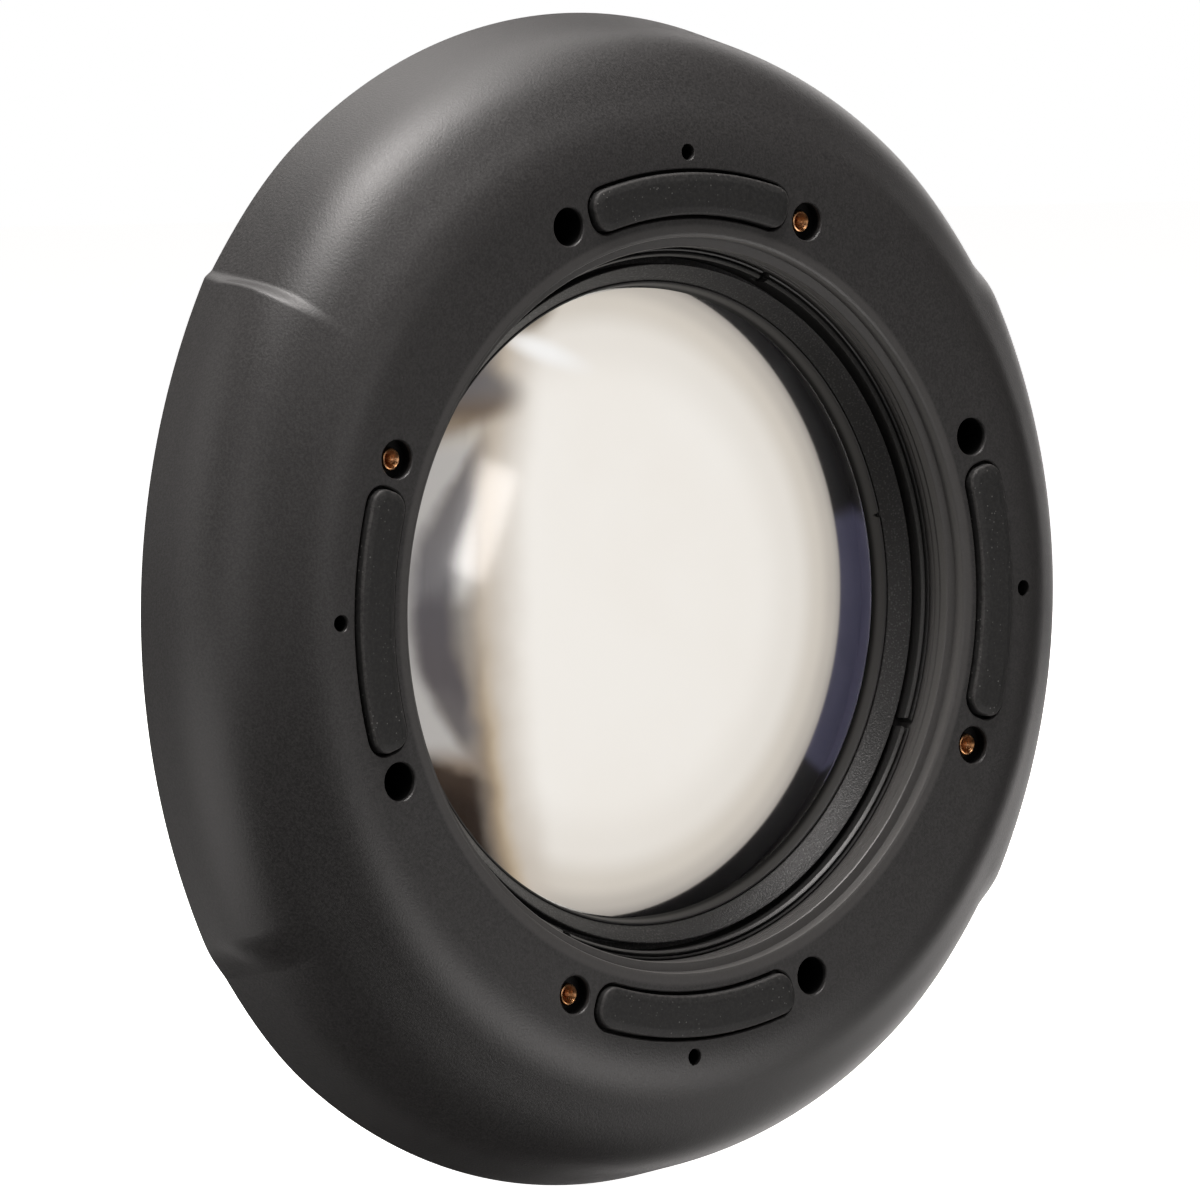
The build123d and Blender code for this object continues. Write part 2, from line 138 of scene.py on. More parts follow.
def add_softbox(name, azimuth, elevation, distance, width, height, power):
    """Rectangular soft light that faces the origin from a direction."""
    light = bpy.data.lights.new(name, "AREA")
    light.shape = "RECTANGLE"
    light.size, light.size_y = width, height
    light.energy = power
    light.color = LIGHT_COLOUR
    lamp = bpy.data.objects.new(name, light)
    scene.collection.objects.link(lamp)
    outwards = direction(azimuth, elevation)
    slant = Matrix.Rotation(radians(SLANTS.get(name, 0)), 3, "Z")
    aimed = outwards.to_track_quat("Z", "Y").to_matrix() @ slant
    lamp.matrix_world = Matrix.Translation(outwards * distance) @ aimed.to_4x4()
    return lamp


def add_floor():
    """Pale floor that only the camera sees: it neither shades nor reflects on the object."""
    mesh = bpy.data.meshes.new("floor")
    work = bmesh.new()
    bmesh.ops.create_grid(work, x_segments=24, y_segments=24, size=FLOOR_HALF)
    work.to_mesh(mesh)
    work.free()
    floor = bpy.data.objects.new("floor", mesh)
    scene.collection.objects.link(floor)
    floor.location.z = cad_low.z
    floor.visible_glossy = False
    floor.visible_diffuse = False
    floor.visible_shadow = False
    paint = bpy.data.materials.new("floor_paint")
    paint.use_nodes = True
    shader = paint.node_tree.nodes["Principled BSDF"]
    shader.inputs["Base Color"].default_value = (*FLOOR_COLOUR, 1)
    shader.inputs["Roughness"].default_value = 0.9
    shader.inputs["Emission Color"].default_value = (*FLOOR_COLOUR, 1)
    shader.inputs["Emission Strength"].default_value = FLOOR_GLOW
    mesh.materials.append(paint)


def add_surround():
    """White surround for the camera, and a much dimmer one that lights the object."""
    world = bpy.data.worlds.new("surround")
    scene.world = world
    world.use_nodes = True
    nodes, links = world.node_tree.nodes, world.node_tree.links
    nodes.clear()
    output = nodes.new("ShaderNodeOutputWorld")
    mix = nodes.new("ShaderNodeMixShader")
    path = nodes.new("ShaderNodeLightPath")
    lit, seen = nodes.new("ShaderNodeBackground"), nodes.new("ShaderNodeBackground")
    lit.inputs["Color"].default_value = SURROUND_COLOUR
    lit.inputs["Strength"].default_value = SURROUND_STRENGTH
    seen.inputs["Color"].default_value = (1, 1, 1, 1)
    links.new(path.outputs["Is Camera Ray"], mix.inputs[0])
    links.new(lit.outputs[0], mix.inputs[1])
    links.new(seen.outputs[0], mix.inputs[2])
    links.new(mix.outputs[0], output.inputs[0])


add_floor()
add_surround()
softboxes = {softbox[0]: add_softbox(*softbox) for softbox in SOFTBOXES}


# ---- Materials ----
# Places of the colour sockets in a mix node's inputs and outputs
MIX_A, MIX_B, MIX_RESULT = 6, 7, 2

# Share of a dot's radius over which it fades out
DOT_SOFTNESS = 0.3

# Radii between which the collar's tones change: its bore, and the zone of its holes and pockets with painted
# shade
BORE_SHADE = (0.0500, 0.0507)
HOLES_INNER_PAINTED_SHADE, HOLES_OUTER_PAINTED_SHADE = (0.0488, 0.0494), (0.0602, 0.0618)

# Depths between which the glass's clamp ring turns from blasted to dead black
CLAMP_SHADE = (0.0097, 0.0110)


class Paint:
    """A procedural material: a Principled shader and short ways to add nodes before it."""

    def __init__(self, name, **shader_values):
        self.material = bpy.data.materials.new(name)
        self.material.use_nodes = True
        self.tree = self.material.node_tree
        self.shader = self.tree.nodes["Principled BSDF"]
        self.place = self.node("ShaderNodeTexCoord").outputs["Object"]
        self.set(**shader_values)

    def set(self, **values):
        """Sets the shader's sockets, with spaces written as underscores, to a value or a link."""
        for name, value in values.items():
            self.put(self.shader.inputs[name.replace("_", " ")], value)

    def put(self, socket, value):
        """Gives a socket a link, a colour or a plain value."""
        if isinstance(value, bpy.types.NodeSocket):
            self.tree.links.new(value, socket)
        elif isinstance(value, tuple) and len(value) == 3 and socket.type == "RGBA":
            socket.default_value = (*value, 1)
        else:
            socket.default_value = value

    def node(self, kind, inputs=(), **settings):
        """New node with values or links for its inputs, and its own settings."""
        made = self.tree.nodes.new(kind)
        for name, value in settings.items():
            setattr(made, name, value)
        for key, value in dict(inputs).items():
            self.put(made.inputs[key], value)
        return made

    def maths(self, operation, a, b=0.0):
        return self.node("ShaderNodeMath", {0: a, 1: b}, operation=operation).outputs[0]

    def plus(self, a, b):
        return self.maths("ADD", a, b)

    def minus(self, a, b):
        return self.maths("SUBTRACT", a, b)

    def times(self, a, b):
        return self.maths("MULTIPLY", a, b)

    def noise(self, size, detail=3.0, roughness=0.5, place=None):
        """Noise with features of about that size in metres."""
        values = {"Vector": place or self.place, "Scale": 1 / size, "Detail": detail, "Roughness": roughness}
        return self.node("ShaderNodeTexNoise", values).outputs["Fac"]

    def spots(self, spacing, radius):
        """1 inside small scattered dots with soft edges, and 0 between them."""
        cells = self.node("ShaderNodeTexVoronoi", {"Vector": self.place, "Scale": 1 / spacing})
        edge = radius / spacing
        return self.steps(cells.outputs["Distance"], edge * (1 - DOT_SOFTNESS), edge, 1.0, 0.0)

    def steps(self, value, low, high, at_low=0.0, at_high=1.0):
        """Smooth ramp between two values."""
        made = self.node(
            "ShaderNodeMapRange",
            {"Value": value, "From Min": low, "From Max": high, "To Min": at_low, "To Max": at_high},
            interpolation_type="SMOOTHSTEP",
        )
        return made.outputs["Result"]

    def mix(self, factor, a, b):
        """Colour a where the factor is 0 and colour b where it is 1."""
        made = self.node("ShaderNodeMix", data_type="RGBA")
        self.put(made.inputs["Factor"], factor)
        self.put(made.inputs[MIX_A], a)
        self.put(made.inputs[MIX_B], b)
        return made.outputs[MIX_RESULT]

    def xyz(self):
        return self.node("ShaderNodeSeparateXYZ", {"Vector": self.place}).outputs

    def ramp(self, value, low, high, *stops):
        """Colours along a value: each stop is (value, colour), in the value's own units."""
        share = self.node("ShaderNodeMapRange", {"Value": value, "From Min": low, "From Max": high})
        made = self.node("ShaderNodeValToRGB", {"Fac": share.outputs["Result"]})
        band = made.color_ramp
        band.interpolation = "EASE"
        while len(band.elements) < len(stops):
            band.elements.new(0.5)
        for element, (at, colour) in zip(band.elements, stops):
            element.position = (at - low) / (high - low)
            element.color = (*colour, 1)
        return made.outputs["Color"]

    def oval(self, centre, half_sizes, lean=0.0):
        """Distance from an oval's centre in the X-Z plane, 1 on the oval; millimetres and degrees."""
        x, _, z = self.xyz()
        x, z = self.minus(x, centre[0] * MM), self.minus(z, centre[1] * MM)
        c, s = cos(radians(lean)), sin(radians(lean))
        along = self.plus(self.times(x, c), self.times(z, s))
        across = self.minus(self.times(z, c), self.times(x, s))
        along = self.maths("DIVIDE", along, half_sizes[0] * MM)
        across = self.maths("DIVIDE", across, half_sizes[1] * MM)
        return self.length(along, across)

    def length(self, a, b):
        """Length of the hypotenuse over two sides."""
        return self.maths("SQRT", self.plus(self.times(a, a), self.times(b, b)))

    def radius(self):
        """Distance from the optical axis, in metres."""
        x, _, z = self.xyz()
        return self.length(x, z)

    def bump(self, height, distance, strength=1.0):
        """Small relief from a height, over a distance in metres."""
        made = self.node("ShaderNodeBump", {"Height": height, "Distance": distance, "Strength": strength})
        self.put(self.shader.inputs["Normal"], made.outputs["Normal"])


def matt_black(name, dark, light, roughness, grain, grain_depth):
    """Matt black surface with a fine blasted grain and faint uneven patches."""
    paint = Paint(name)
    patches = paint.noise(0.03, 4)
    fine = paint.noise(grain, 2, 0.6)
    speckle = paint.steps(fine, 0.35, 0.7)
    unevenness = paint.plus(paint.times(patches, 0.4), paint.times(speckle, 0.5))
    tone = paint.mix(unevenness, dark, light)
    paint.set(
        Base_Color=tone,
        Roughness=paint.steps(patches, 0.3, 0.7, roughness - 0.03, roughness + 0.04),
        Specular_IOR_Level=0.5,
    )
    paint.bump(fine, grain_depth, 0.5)
    return paint


def collar_moulding():
    """Fine-grained black collar with dust, paler in its bore, with painted shade in its holes and pockets."""
    paint = Paint("collar_moulding")
    _, y, _ = paint.xyz()
    patches = paint.noise(0.03, 4)
    fine = paint.noise(0.00032, 2, 0.65)
    tone = paint.mix(paint.steps(fine, 0.3, 0.72), (0.0185, 0.018, 0.018), (0.038, 0.0365, 0.0365))
    tone = paint.mix(paint.times(patches, 0.25), tone, (0.034, 0.032, 0.031))
    dusty = paint.steps(paint.noise(0.02, 2), 0.45, 0.7, 0.0, 0.35)
    dust = paint.times(paint.spots(0.0021, 0.00011), dusty)
    tone = paint.mix(dust, tone, (0.11, 0.105, 0.1))
    in_bore = paint.steps(paint.radius(), *BORE_SHADE, 0.6, 0.0)
    tone = paint.mix(in_bore, tone, (0.080, 0.077, 0.075))
    # Painted shade: holes and pockets below the face turn near-black and less glossy
    below_face = paint.steps(y, face_y + 0.0003, face_y + 0.0009)
    painted_hole_shade = paint.times(below_face, paint.steps(paint.radius(), *HOLES_OUTER_PAINTED_SHADE, 1.0, 0.0))
    painted_hole_shade = paint.times(painted_hole_shade, paint.steps(paint.radius(), *HOLES_INNER_PAINTED_SHADE))
    paint.set(
        Base_Color=paint.mix(painted_hole_shade, tone, (0.004, 0.004, 0.004)),
        Roughness=paint.steps(fine, 0.2, 0.8, 0.38, 0.47),
        Specular_IOR_Level=paint.steps(painted_hole_shade, 0.0, 1.0, 0.5, 0.12),
    )
    paint.bump(fine, 0.00005, 0.6)
    return paint


def turned_black(name, dark, light, roughness, pitch):
    """Black anodised metal with fine turning marks about the optical axis."""
    paint = Paint(name)
    _, y, _ = paint.xyz()
    along = paint.plus(paint.radius(), y)
    along = paint.plus(along, paint.times(paint.noise(0.02, 2), pitch))
    marks = paint.maths("SINE", paint.times(along, tau / pitch))
    fine = paint.noise(0.00022, 2, 0.6)
    scuffs = paint.steps(paint.noise(0.004, 5, 0.7), 0.62, 0.75, 0.0, 0.5)
    tone = paint.mix(paint.steps(fine, 0.3, 0.75), dark, light)
    tone = paint.mix(scuffs, tone, (0.05, 0.049, 0.048))
    paint.set(Base_Color=tone, Roughness=paint.steps(fine, 0.2, 0.8, roughness - 0.05, roughness + 0.06))
    height = paint.plus(paint.times(marks, 0.4), fine)
    paint.bump(height, 0.000012, 0.5)
    return paint


def throat_black():
    """Dead black ring, blasted like the bezel towards its front."""
    paint = Paint("throat_black", Roughness=0.6)
    fine = paint.noise(0.0003, 3, 0.6)
    _, y, _ = paint.xyz()
    front, back = CLAMP_SHADE
    blasted = paint.steps(y, face_y + front, face_y + back, 1.0, 0.0)
    dead = paint.mix(fine, (0.0008, 0.0008, 0.0008), (0.002, 0.002, 0.002))
    paint.set(
        Base_Color=paint.mix(blasted, dead, (0.022, 0.021, 0.021)),
        Specular_IOR_Level=paint.steps(blasted, 0.0, 1.0, 0.08, 0.5),
    )
    paint.bump(fine, 0.00002, 0.5)
    return paint


def speckled_black(name, dark, light, roughness):
    """Coarse-blasted black metal with small pale sparkles."""
    paint = Paint(name)
    grain = paint.noise(0.00026, 1, 0.5)
    sparkle = paint.steps(grain, 0.56, 0.72)
    tone = paint.mix(sparkle, dark, light)
    tone = paint.mix(paint.times(paint.noise(0.006, 3), 0.3), tone, dark)
    paint.set(Base_Color=tone, Roughness=paint.steps(grain, 0.3, 0.7, roughness + 0.05, roughness - 0.08))
    paint.bump(grain, 0.00008, 0.8)
    return paint


def pad_rubber():
    """Dusty black rubber with pale edges, partly wear from rubbing and partly painted sheen, and small pale
    specks.
    """
    paint = Paint("pad_rubber")
    facing = paint.node("ShaderNodeTexCoord").outputs["Normal"]
    _, backwards, _ = paint.node("ShaderNodeSeparateXYZ", {"Vector": facing}).outputs
    tilt = paint.plus(backwards, 1.0)
    fine = paint.noise(0.0005, 3, 0.7)
    # Pale edges where the surface turns away from the face: partly wear from rubbing, partly painted sheen
    # along the edges
    rubbed_and_painted_sheen = paint.times(paint.steps(tilt, 0.01, 0.12), paint.steps(tilt, 0.75, 0.95, 1.0, 0.0))
    rubbed_and_painted_sheen = paint.times(rubbed_and_painted_sheen, paint.steps(fine, 0.3, 0.65, 0.25, 0.9))
    tone = paint.mix(paint.steps(fine, 0.35, 0.75), (0.011, 0.011, 0.011), (0.026, 0.0255, 0.025))
    tone = paint.mix(rubbed_and_painted_sheen, tone, (0.055, 0.053, 0.052))
    clumps = paint.steps(paint.noise(0.007, 3), 0.4, 0.65, 0.1, 1.0)
    specks = paint.times(paint.spots(0.0008, 0.00013), clumps)
    tone = paint.mix(paint.times(specks, 0.75), tone, (0.15, 0.145, 0.14))
    paint.set(Base_Color=tone, Roughness=paint.steps(fine, 0.2, 0.8, 0.52, 0.68), Specular_IOR_Level=0.35)
    paint.bump(fine, 0.00007, 0.6)
    return paint


def turned_metal(name, dark, light, roughness, grain):
    """Bare metal with uneven tone and fine grain."""
    paint = Paint(name, Metallic=1.0)
    fine = paint.noise(grain, 3, 0.7)
    tarnish = paint.noise(0.0016, 3, 0.6)
    paint.set(
        Base_Color=paint.mix(paint.steps(tarnish, 0.35, 0.7), dark, light),
        Roughness=paint.steps(fine, 0.25, 0.75, roughness - 0.08, roughness + 0.1),
    )
    paint.bump(fine, 0.00002, 0.5)
    return paint


def foam_body():
    """Pale closed-cell foam with small pits, painted darker inside as shade."""
    paint = Paint("closed_cell_foam")
    pits = paint.spots(0.0009, 0.0003)
    tone = paint.mix(paint.noise(0.006, 4), (0.62, 0.60, 0.52), (0.80, 0.78, 0.70))
    # Painted shade: the pits are darker than the foam around them
    paint.set(
        Base_Color=paint.mix(pits, tone, (0.40, 0.38, 0.32)),
        Roughness=paint.steps(pits, 0.0, 1.0, 0.82, 0.95),
    )
    paint.bump(pits, -0.0002, 0.7)
    return paint


collar_paint = collar_moulding()
anodised_paint = turned_black("black_anodising", (0.012, 0.012, 0.012), (0.030, 0.0295, 0.029), 0.42, 0.00045)
bezel_paint = speckled_black("bezel_blasted", (0.012, 0.0118, 0.0118), (0.056, 0.054, 0.054), 0.52)
throat_paint = throat_black()
pad_paint = pad_rubber()
seal_paint = matt_black("seal_rubber", (0.012, 0.012, 0.012), (0.02, 0.02, 0.02), 0.45, 0.0005, 0.00003)
foam_paint = foam_body()
screw_paint = turned_black("black_oxide", (0.006, 0.006, 0.0065), (0.02, 0.02, 0.021), 0.36, 0.0006)
washer_paint = matt_black("slip_plastic", (0.7, 0.7, 0.68), (0.82, 0.82, 0.8), 0.5, 0.0004, 0.00002)
brass_paint = turned_metal("brass_turned", (0.50, 0.25, 0.11), (0.92, 0.52, 0.28), 0.32, 0.0002)
steel_paint = turned_metal("spring_steel", (0.42, 0.42, 0.43), (0.60, 0.60, 0.61), 0.3, 0.0003)
glass_paint = Paint(
    "coated_glass", Base_Color=(0.97, 0.97, 0.98), Roughness=0.12, IOR=1.45, Transmission_Weight=1.0
)

SLOT_PAINTS = {
    "collar": collar_paint,
    "anodised": anodised_paint,
    "pads": pad_paint,
    "seals": seal_paint,
    "foam": foam_paint,
    "brass": brass_paint,
    "screws": screw_paint,
    "steel": steel_paint,
    "washer": washer_paint,
    "glass": glass_paint,
}
for subpart in frame["record"]["subparts"]:
    node_mesh = frame["nodes"][subpart["node"]].data
    node_mesh.materials.clear()
    node_mesh.materials.append(SLOT_PAINTS[subpart["material_slot"]].material)


# ---- Ways to make a piece ----
def shaped(name, work, paint, sharp=30):
    """Smooth-shaded object from finished bmesh work, sharp where faces meet at more than an angle."""
    mesh = bpy.data.meshes.new(name)
    work.to_mesh(mesh)
    work.free()
    mesh.shade_smooth()
    mesh.set_sharp_from_angle(angle=radians(sharp))
    mesh.materials.append(paint.material)
    piece = bpy.data.objects.new(name, mesh)
    scene.collection.objects.link(piece)
    return piece


def turned(name, outline, paint, steps=240):
    """Piece made by turning a closed outline of (radius, depth) points about the optical axis."""
    work = bmesh.new()
    rings = []
    for radius, depth in outline:
        y = face_y + depth * MM
        if radius == 0:
            rings.append([work.verts.new((0, y, 0))] * steps)
        else:
            angles = [tau * n / steps for n in range(steps)]
            rings.append([work.verts.new((radius * MM * cos(a), y, radius * MM * sin(a))) for a in angles])
    for ring, following in zip(rings, rings[1:] + rings[:1]):
        for n in range(steps):
            m = (n + 1) % steps
            corners = list(dict.fromkeys((ring[n], ring[m], following[m], following[n])))
            if len(corners) > 2:
                work.faces.new(corners)
    bmesh.ops.recalc_face_normals(work, faces=work.faces)
    return shaped(name, work, paint)


def stack(work, layers, closed=False):
    """Walls between layers of equally many points, and from the last to the first if closed."""
    rings = [[work.verts.new(point) for point in layer] for layer in layers]
    for low, high in zip(rings, rings[1:] + (rings[:1] if closed else [])):
        for n in range(len(low)):
            m = (n + 1) % len(low)
            work.faces.new((low[n], low[m], high[m], high[n]))
    return rings


def cap(work, rings):
    """Flat ends on both ends of a stack."""
    work.faces.new(rings[0])
    work.faces.new(rings[-1])


def round_layer(x, z, radii, depth, steps):
    """Points of an oval across the optical axis, round a centre, in millimetres."""
    wide, high = radii
    points = []
    for n in range(steps):
        angle = tau * n / steps
        across, up = x + wide * cos(angle), z + high * sin(angle)
        points.append(Vector((across * MM, face_y + depth * MM, up * MM)))
    return points


def ride_on(piece, body, slot_name, *replaced):
    """Sets which body a piece moves with and the CAD node that it replaces; its material slot is not used."""
    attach(piece, body)
    if replaced:
        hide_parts(*replaced)


# ---- Front glass: a thick coated element ----
DOME_VERTEX, DOME_CURVE, DOME_R = 0.2, 87.0, 41.9
GLASS_R, GLASS_SHOULDER, GLASS_BACK = 42.65, 12.65, 25.95


def lens_face(curve, radius, vertex, backwards, count=30):
    """Points of a spherical face from the axis out, falling away backwards or forwards."""
    sign = 1 if backwards else -1
    radii = [radius * n / count for n in range(count + 1)]
    return [(r, vertex + sign * (curve - sqrt(curve**2 - r**2))) for r in radii]


front_element = turned(
    "front_element",
    [
        *lens_face(DOME_CURVE, DOME_R, DOME_VERTEX, True, count=40),
        (DOME_R, GLASS_SHOULDER), (GLASS_R, GLASS_SHOULDER), (GLASS_R, GLASS_BACK), (0, GLASS_BACK),
    ],
    glass_paint,
)
ride_on(front_element, LENS_BODY, "glass", "front_glass")


def link_softboxes():
    """Only the window-shaped softbox lights the front glass, and it lights nothing else."""
    shares = {}
    for share in ("INCLUDE", "EXCLUDE"):
        shares[share] = bpy.data.collections.new(f"glass_{share.lower()}")
        shares[share].objects.link(front_element)
        shares[share].collection_objects[0].light_linking.link_state = share
    for name, softbox in softboxes.items():
        share = "INCLUDE" if name == WINDOW else "EXCLUDE"
        softbox.light_linking.receiver_collection = shares[share]


link_softboxes()


# ---- The bright field seen through the optics: a self-lit disc just inside the back of the glass, painted with light, shade and reflections ----
FIELD_CENTRE_Z, FIELD_HALF_WIDTH, FIELD_HALF_HEIGHT = 0.9, 37.8, 40.3
FIELD_DEPTH, FIELD_THICKNESS = 25.7, 0.1

# Painted glow from the middle of the field (0) to its rim (1), greying into painted shade at the rim
GLOW_AND_RIM_SHADE_STOPS = (
    (0.0, (0.90, 0.865, 0.81)),
    (0.6, (0.90, 0.865, 0.81)),
    (0.78, (0.82, 0.78, 0.72)),
    (0.89, (0.66, 0.61, 0.54)),
    (0.96, (0.50, 0.46, 0.41)),
    (1.0, (0.36, 0.33, 0.30)),
)

# Colours of the painted reflections in bands on the left side, by height in metres
REFLECTION_BAND_STOPS = (
    (-0.026, (0.020, 0.012, 0.008)),
    (-0.0225, (0.038, 0.024, 0.016)),
    (-0.0200, (0.22, 0.17, 0.13)),
    (-0.0165, (0.50, 0.45, 0.38)),
    (-0.011, (0.25, 0.215, 0.18)),
    (-0.0010, (0.23, 0.21, 0.19)),
    (0.0046, (0.62, 0.60, 0.57)),
    (0.0205, (0.56, 0.51, 0.44)),
    (0.0245, (0.23, 0.18, 0.13)),
    (0.0275, (0.085, 0.075, 0.07)),
    (0.0315, (0.16, 0.155, 0.16)),
    (0.0345, (0.80, 0.78, 0.76)),
)

# The painted dark reflection arc and the right-hand edge of the painted reflections are bent bands: x =
# middle + bend * z squared
ARC_X, ARC_BEND = -0.0257, 26.0
EDGE_X, EDGE_BEND = -0.0182, 4.5


def cream_glow_with_rim_shade(paint):
    """Painted glow in cream that greys into painted shade towards the rim, with faint painted clouds."""
    off_rim = paint.oval((0, FIELD_CENTRE_Z), (FIELD_HALF_WIDTH, FIELD_HALF_HEIGHT))
    cream = paint.ramp(off_rim, 0.0, 1.0, *GLOW_AND_RIM_SHADE_STOPS)
    clouds = paint.steps(paint.noise(0.016, 3, 0.45), 0.35, 0.75, 0.0, 0.14)
    return paint.mix(clouds, cream, (0.80, 0.73, 0.64))


def painted_reflection_bands(paint, side, z, wobble):
    """Painted reflections: smoky bands above each other, leaning towards the middle, with thin brown columns
    low down.
    """
    lean = paint.times(paint.plus(side, 0.017), paint.steps(z, -0.012, 0.012, -1.0, 1.0))
    height = paint.plus(paint.minus(z, paint.times(lean, 0.4)), wobble)
    bands = paint.ramp(height, -0.04, 0.04, *REFLECTION_BAND_STOPS)
    stretched = paint.node("ShaderNodeMapping", {"Vector": paint.place, "Scale": (1.0, 1.0, 0.05)})
    columns = paint.noise(0.0012, 2, 0.6, stretched.outputs["Vector"])
    columns = paint.times(paint.steps(columns, 0.5, 0.75, 0.0, 0.35), paint.steps(z, -0.016, -0.012))
    return paint.mix(columns, bands, (0.19, 0.14, 0.10))


def painted_reflection_arc(paint, painted_reflection_tone, side, z, squared):
    """The painted reflections with a painted dark violet-grey reflection arc across them, and mid grey on the
    arc's outer side.
    """
    arc = paint.minus(side, paint.plus(paint.times(squared, ARC_BEND), ARC_X))
    level = paint.times(paint.steps(z, -0.020, -0.016), paint.steps(z, 0.018, 0.023, 1.0, 0.0))
    outer = paint.times(paint.steps(arc, -0.0036, -0.0012, 1.0, 0.0), level)
    painted_reflection_tone = paint.mix(outer, painted_reflection_tone, (0.44, 0.42, 0.40))
    spread = paint.steps(paint.maths("ABSOLUTE", z), 0.006, 0.020, 0.0052, 0.0042)
    in_arc = paint.steps(paint.maths("DIVIDE", paint.maths("ABSOLUTE", arc), spread), 0.25, 1.0, 1.0, 0.0)
    in_arc = paint.times(in_arc, paint.steps(z, -0.022, -0.015, 0.0, 0.85))
    in_arc = paint.times(in_arc, paint.steps(z, 0.018, 0.024, 1.0, 0.3))
    return paint.mix(in_arc, painted_reflection_tone, (0.062, 0.056, 0.066))


def painted_reflection_fringe(paint, colour, past, z):
    """A painted brown reflection fringe along the right-hand edge of the painted reflections, strongest low
    down.
    """
    strength = paint.steps(z, -0.018, 0.0, 0.85, 0.3)
    fringe = paint.steps(paint.maths("ABSOLUTE", paint.minus(past, EDGE_X)), 0.0, 0.0030, 1.0, 0.0)
    brown = paint.mix(paint.steps(past, -0.0205, -0.0165), (0.13, 0.08, 0.04), (0.52, 0.41, 0.28))
    return paint.mix(paint.times(fringe, strength), colour, brown)


def painted_upper_left_reflections(paint, colour, z):
    """Painted reflections at the upper left: a smoky patch, a white highlight streak and a brown corner."""
    upper_reflection_patch = paint.steps(paint.oval((-18.0, 26.0), (8.6, 4.4), -4), 0.35, 1.05, 0.92, 0.0)
    smoky = paint.mix(paint.steps(z, 0.0225, 0.0275), (0.13, 0.09, 0.06), (0.14, 0.13, 0.13))
    colour = paint.mix(upper_reflection_patch, colour, smoky)
    # Painted highlight: a leaning white streak
    streak = paint.steps(paint.oval((-7.5, 30.9), (8.5, 2.0), -22), 0.1, 1.15, 1.0, 0.0)
    colour = paint.mix(streak, colour, (0.93, 0.92, 0.90))
    corner = paint.steps(paint.oval((-9.0, 35.9), (5.0, 2.6), 22), 0.3, 1.15, 0.9, 0.0)
    return paint.mix(corner, colour, (0.16, 0.125, 0.09))


def field_paint():
    """Self-lit painted view of the bright background seen through the optics, with painted shade towards its
    rim and painted reflections in smoky bands along its left side.
    """
    paint = Paint("self_lit_painted_view", Base_Color=(0.02, 0.02, 0.02), Roughness=0.9, Specular_IOR_Level=0.0)
    x, _, z = paint.xyz()
    squared = paint.times(z, z)
    wobble = paint.times(paint.minus(paint.noise(0.008, 3, 0.5), 0.5), 0.0030)
    side = paint.plus(x, wobble)
    painted_reflection_tone = painted_reflection_arc(paint, painted_reflection_bands(paint, side, z, wobble), side, z, squared)
    past = paint.minus(side, paint.times(squared, EDGE_BEND))
    # Painted shade: the cream darkens towards the painted reflections on its left
    pale = paint.mix(paint.steps(past, -0.0170, -0.0100), (0.58, 0.52, 0.45), cream_glow_with_rim_shade(paint))
    colour = paint.mix(paint.steps(past, -0.0220, -0.0158), painted_reflection_tone, pale)
    colour = painted_upper_left_reflections(paint, painted_reflection_fringe(paint, colour, past, z), z)
    # The disc glows by itself: all its colour is painted light and shade, not lit by the lamps
    paint.set(Emission_Color=colour, Emission_Strength=1.0)
    return paint


def oval_disc(name, centre_z, radii, depth, thickness, paint):
    """Thin flat oval across the optical axis."""
    work = bmesh.new()
    cap(work, stack(work, [round_layer(0, centre_z, radii, at, 240) for at in (depth, depth + thickness)]))
    bmesh.ops.recalc_face_normals(work, faces=work.faces)
    return shaped(name, work, paint)


field_radii = (FIELD_HALF_WIDTH, FIELD_HALF_HEIGHT)
self_lit_painted_view = oval_disc("self_lit_painted_view", FIELD_CENTRE_Z, field_radii, FIELD_DEPTH, FIELD_THICKNESS, field_paint())
ride_on(self_lit_painted_view, LENS_BODY, "glass")


def edge_paint():
    """Black edge of the glass, with a painted violet-blue reflection, self-lit, along part of its right side.
    """
    paint = Paint("blackened_edge", Roughness=0.4, Specular_IOR_Level=0.3)
    x, _, z = paint.xyz()
    turned_by = paint.maths("ARCTAN2", z, x)
    # Painted reflection: a self-lit violet-blue band between these angles round the axis
    band = paint.times(
        paint.steps(turned_by, radians(-33), radians(-31)),
        paint.steps(turned_by, radians(11), radians(15), 1.0, 0.0),
    )
    violet = paint.mix(paint.noise(0.004, 3), (0.028, 0.028, 0.050), (0.046, 0.044, 0.072))
    colour = paint.mix(band, (0.0012, 0.0011, 0.0014), violet)
    paint.set(Base_Color=colour, Emission_Color=colour, Emission_Strength=0.8)
    return paint


blackened_edge = turned(
    "blackened_edge",
    [
        (41.95, 12.75), (42.6, 12.75), (42.6, 25.9), (30.0, 25.9),
        (30.0, 25.85), (42.5, 25.85), (42.5, 12.85), (41.95, 12.85),
    ],
    edge_paint(),
)
ride_on(blackened_edge, LENS_BODY, "glass")


# ---- Collar: a smooth rounded ring with flatter sides and soft steps beside them ----
COLLAR_DEPTH = 22.4
RIM_R, FACE_EDGE_R = 78.5, 62.6
SHOULDER_R, SHOULDER_DEPTH = 75.2, 8.5
CORNER_REACH = {"face_edge": 5.2, "shoulder": 8.2, "side": 9.6}
SIDE_HALF_WIDTH, SIDE_ARC_R, SIDE_LEAN = 75.3, 94.3, 0.4
STEP_ANGLE, STEP_SWEEP, STEP_WIDTH, SOFT_STEP_WIDTH = 33.6, 1.6, 1.9, 7.0
EASE_ANGLE, EASE_IN = 52.0, 0.95

